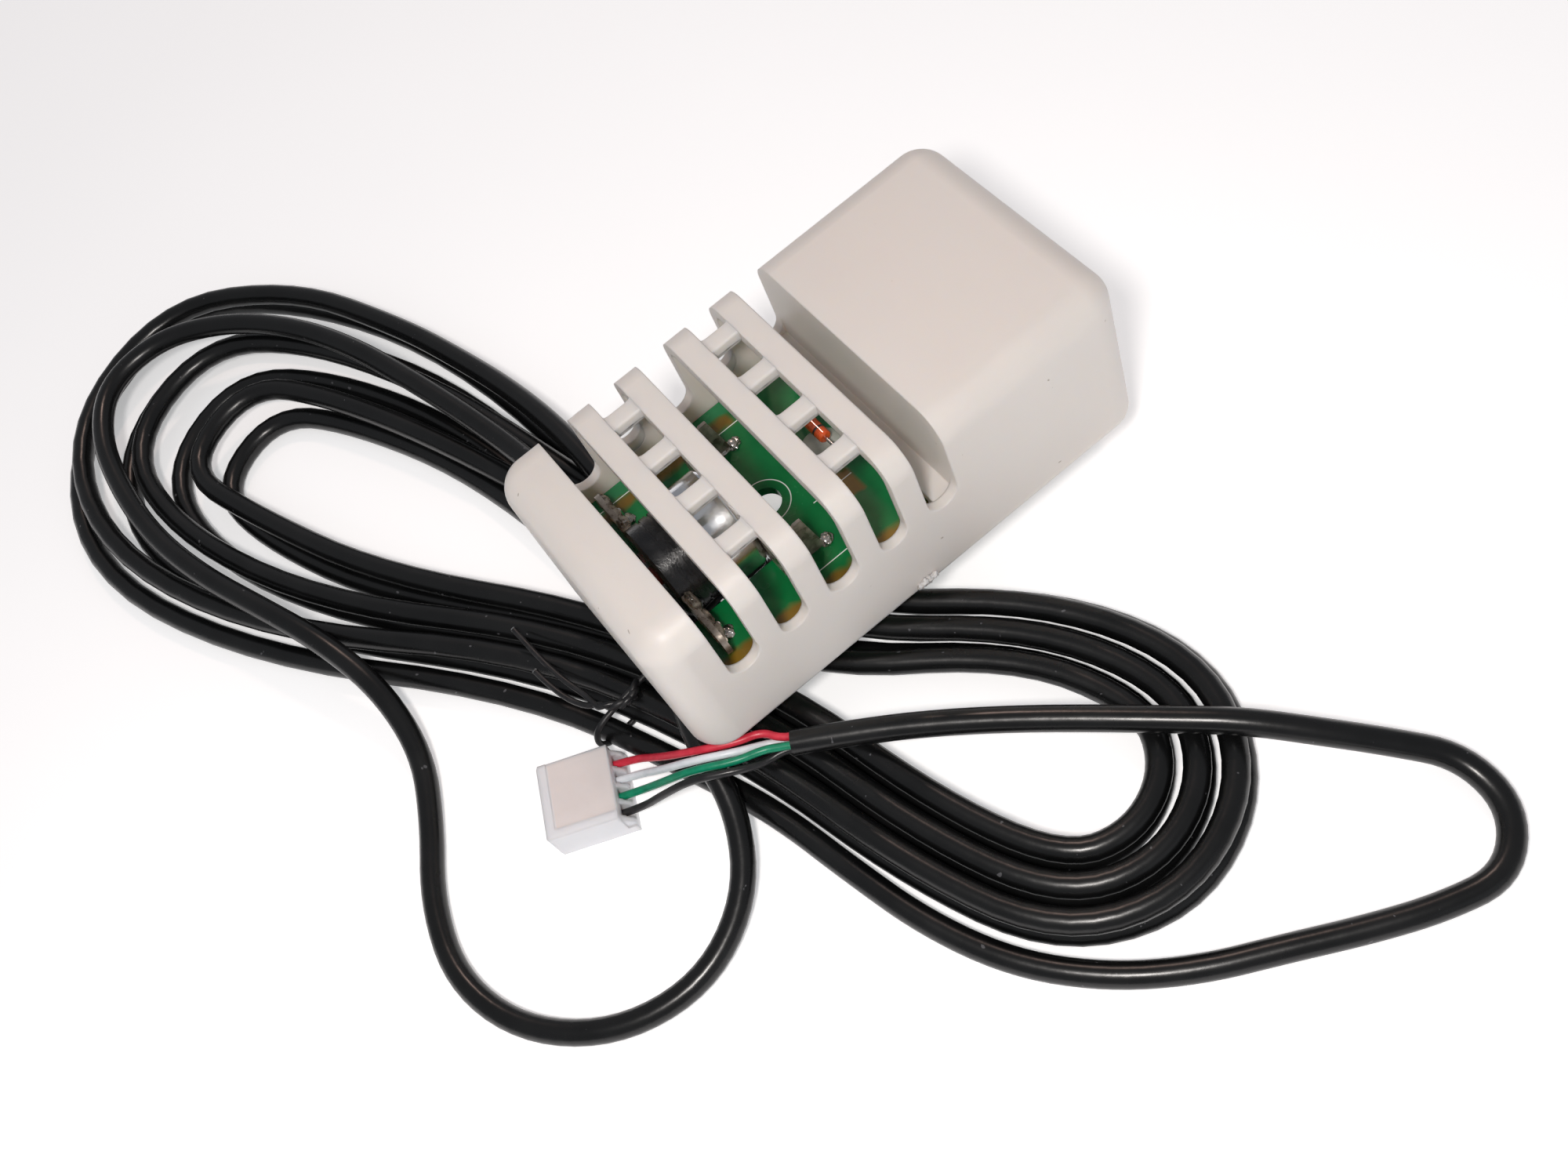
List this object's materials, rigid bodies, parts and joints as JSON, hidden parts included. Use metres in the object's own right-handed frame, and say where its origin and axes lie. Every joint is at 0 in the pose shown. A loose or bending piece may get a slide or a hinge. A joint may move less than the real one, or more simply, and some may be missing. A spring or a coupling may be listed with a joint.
{
  "type": "sauna temperature sensor",
  "caption": "Vented white box sensor with a circuit board, a reset thermal cut-out and a bead thermistor, on a long black cable folded into a hank with a small plug.",
  "frame": {"origin": "middle of the circuit board's fixing hole, at the board's top face", "axes": "+X along the housing towards its closed end, +Z out of the wall through the roof"},
  "size_m": [0.1344, 0.2198, 0.0382],
  "materials": {
    "cover": "satin moulded",
    "board": "green solder mask over glass laminate",
    "black_moulding": "pressed black resin",
    "cap": "bright drawn",
    "ceramic": "white ceramic",
    "bimetal": "rolled",
    "contact_brass": "rolled strip",
    "button": "moulded",
    "tinned_sheet": "tinned",
    "tinned_wire": "tinned",
    "bead_glass": "orange glass",
    "silicone": "translucent",
    "solder": "bright solder",
    "connector": "moulded nylon",
    "jacket": "satin",
    "tie": "coated wire",
    "core_black": "insulation",
    "core_green": "insulation",
    "core_white": "insulation",
    "core_red": "insulation"
  },
  "bodies": {
    "sensor": {"arm_post": "contact_brass", "bimetal_disc": "bimetal", "cable_hank": "jacket", "cable_lead": "jacket", "cable_tail": "jacket", "circuit_board": "board", "connector_contact_black": "tinned_sheet", "connector_contact_green": "tinned_sheet", "connector_contact_red": "tinned_sheet", "connector_contact_white": "tinned_sheet", "connector_housing": "connector", "core_black": "core_black", "core_green": "core_green", "core_red": "core_red", "core_white": "core_white", "cover": "cover", "cutout_body": "black_moulding", "cutout_cap": "cap", "fixed_contact": "contact_brass", "heat_bracket": "tinned_sheet", "inner_core_black": "core_black", "inner_core_green": "core_green", "inner_core_red": "core_red", "inner_core_white": "core_white", "pin_guide": "ceramic", "silicone_drop": "silicone", "solder_joints": "solder", "terminal_far": "tinned_sheet", "terminal_near": "tinned_sheet", "terminal_pin_far": "tinned_wire", "terminal_pin_near": "tinned_wire", "thermistor_bead": "bead_glass", "thermistor_lead_far": "tinned_wire", "thermistor_lead_near": "tinned_wire", "twist_tie": "tie"},
    "button": {"reset_button": "button"},
    "pin": {"transfer_pin": "ceramic"},
    "arm": {"contact_arm": "contact_brass"}
  },
  "joints": [
    {"name": "button_press", "type": "slide", "parent": "sensor", "child": "button", "axis": [1, 0, 0], "range_m": [0, 0.0008], "stiffness_N_per_m": 600, "springref_m": -0.0005},
    {"name": "pin_slide", "type": "slide", "parent": "sensor", "child": "pin", "axis": [-1, 0, 0], "range_m": [0, 0.0005], "stiffness_N_per_m": 200, "springref_m": -0.0005},
    {"name": "arm_swing", "type": "hinge", "parent": "sensor", "child": "arm", "pos_m": [-0.01218, -0.0046, 0.0027], "axis": [0, 0, 1], "range_deg": [0, 6.3]}
  ],
  "couplings": [
    {"joint": "arm_swing", "follows": "pin_slide", "rad_per_m": 217.39}
  ]
}
